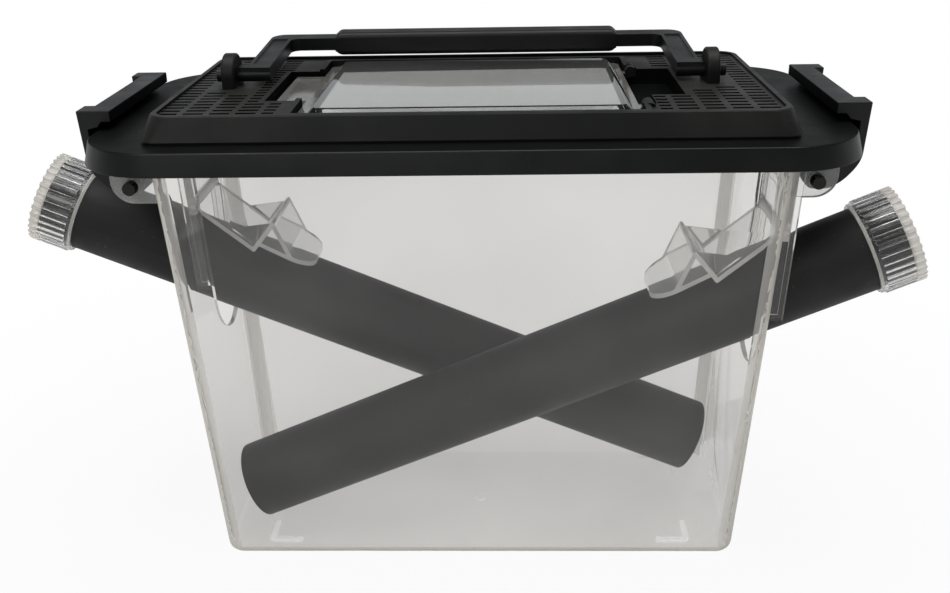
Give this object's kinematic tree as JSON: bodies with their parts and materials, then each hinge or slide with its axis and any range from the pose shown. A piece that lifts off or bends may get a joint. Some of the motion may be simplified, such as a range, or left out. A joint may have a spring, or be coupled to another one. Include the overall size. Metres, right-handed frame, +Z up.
{
  "type": "insect keeper box",
  "caption": "Clear insect keeper box with a vented black lid, clear lid door, bail handle, side latches, sloping hide tubes with clear caps and flaps.",
  "frame": {"origin": "centre of the underside of the tub's floor", "axes": "+Z up, -Y towards the front, +X to the right seen from the front"},
  "size_m": [0.3946, 0.1578, 0.2192],
  "materials": {
    "clear_plastic": "clear, slightly hazy plastic",
    "clear_door": "clear, lightly scratched plastic",
    "black_plastic": "satin moulded plastic",
    "tube_plastic": "matt extruded plastic"
  },
  "bodies": {
    "box": {"tub": "clear_plastic", "port_plate_left": "clear_plastic", "port_plate_right": "clear_plastic", "lid_frame": "black_plastic", "lid_top": "black_plastic"},
    "handle": {"handle_bail": "black_plastic", "handle_grip": "black_plastic"},
    "door": {"door": "clear_door"},
    "latch_left": {"latch_left": "black_plastic"},
    "latch_right": {"latch_right": "black_plastic"},
    "flap_left": {"flap_left": "clear_plastic"},
    "flap_right": {"flap_right": "clear_plastic"},
    "tube_front": {"tube_front": "tube_plastic"},
    "tube_rear": {"tube_rear": "tube_plastic"},
    "cap_front": {"cap_front": "clear_plastic"},
    "cap_rear": {"cap_rear": "clear_plastic"}
  },
  "joints": [
    {"name": "handle_hinge", "type": "hinge", "parent": "box", "child": "handle", "pos_m": [0, 0, 0.21], "axis": [1, 0, 0], "range_deg": [0, 173.2]},
    {"name": "door_hinge", "type": "hinge", "parent": "box", "child": "door", "pos_m": [0.0683, 0, 0.2046], "axis": [0, -1, 0], "range_deg": [-100, 0]},
    {"name": "latch_left_hinge", "type": "hinge", "parent": "box", "child": "latch_left", "pos_m": [-0.1346, 0, 0.1747], "axis": [0, -1, 0], "range_deg": [0, 60]},
    {"name": "latch_right_hinge", "type": "hinge", "parent": "box", "child": "latch_right", "pos_m": [0.1346, 0, 0.1747], "axis": [0, 1, 0], "range_deg": [0, 60]},
    {"name": "flap_left_hinge", "type": "hinge", "parent": "box", "child": "flap_left", "pos_m": [-0.1248, 0.0205, 0.15247], "axis": [0, -1, 0], "range_deg": [0, 60]},
    {"name": "flap_right_hinge", "type": "hinge", "parent": "box", "child": "flap_right", "pos_m": [0.1248, -0.0205, 0.15247], "axis": [0, 1, 0], "range_deg": [0, 60]},
    {"name": "tube_front_slide", "type": "slide", "parent": "box", "child": "tube_front", "axis": [0.9219, 0, 0.3875], "range_m": [0, 0.3]},
    {"name": "tube_rear_slide", "type": "slide", "parent": "box", "child": "tube_rear", "axis": [-0.9219, 0, 0.3875], "range_m": [0, 0.3]},
    {"name": "cap_front_slide", "type": "slide", "parent": "tube_front", "child": "cap_front", "axis": [0.9219, 0, 0.3875], "range_m": [0, 0.03]},
    {"name": "cap_rear_slide", "type": "slide", "parent": "tube_rear", "child": "cap_rear", "axis": [-0.9219, 0, 0.3875], "range_m": [0, 0.03]}
  ]
}
